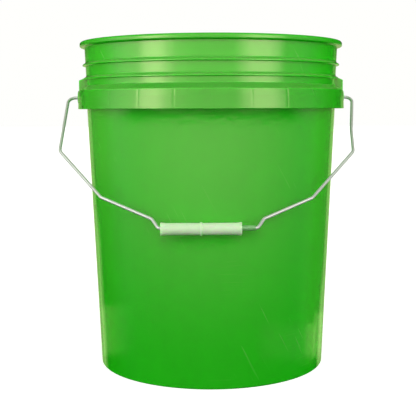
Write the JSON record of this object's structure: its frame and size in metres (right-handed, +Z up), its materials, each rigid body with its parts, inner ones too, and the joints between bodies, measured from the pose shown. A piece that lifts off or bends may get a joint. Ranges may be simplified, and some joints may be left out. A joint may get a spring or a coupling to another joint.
{
  "type": "fermenting bucket",
  "caption": "Open tapered plastic pail with a beaded rim, stacking rings, a skirt band with ears, and a swinging wire bail with a grip.",
  "frame": {"origin": "centre of the pail's foot ring, on the surface it stands on", "axes": "+Z up along the pail's axis, X along the bail's pivot line through the two ears, -Y towards the side the bail hangs on at rest"},
  "size_m": [0.332, 0.3042, 0.3683],
  "materials": {
    "pail_plastic": "smooth moulded polyethylene",
    "bail_steel": "bright galvanised wire",
    "tube_plastic": "natural translucent polyethylene",
    "grip_plastic": "satin white polyethylene"
  },
  "bodies": {
    "pail": {"pail_body": "pail_plastic"},
    "bail": {"wire_bail": "bail_steel", "wire_tube": "tube_plastic"},
    "grip": {"handle_grip": "grip_plastic"}
  },
  "joints": [
    {"name": "bail_swing", "type": "hinge", "parent": "pail", "child": "bail", "pos_m": [0, 0, 0.3064], "axis": [-1, 0, 0], "range_deg": [0, 266]},
    {"name": "grip_spin", "type": "hinge", "parent": "bail", "child": "grip", "pos_m": [-0.0125, -0.14355, 0.17251], "axis": [1, 0, 0], "continuous": true}
  ]
}
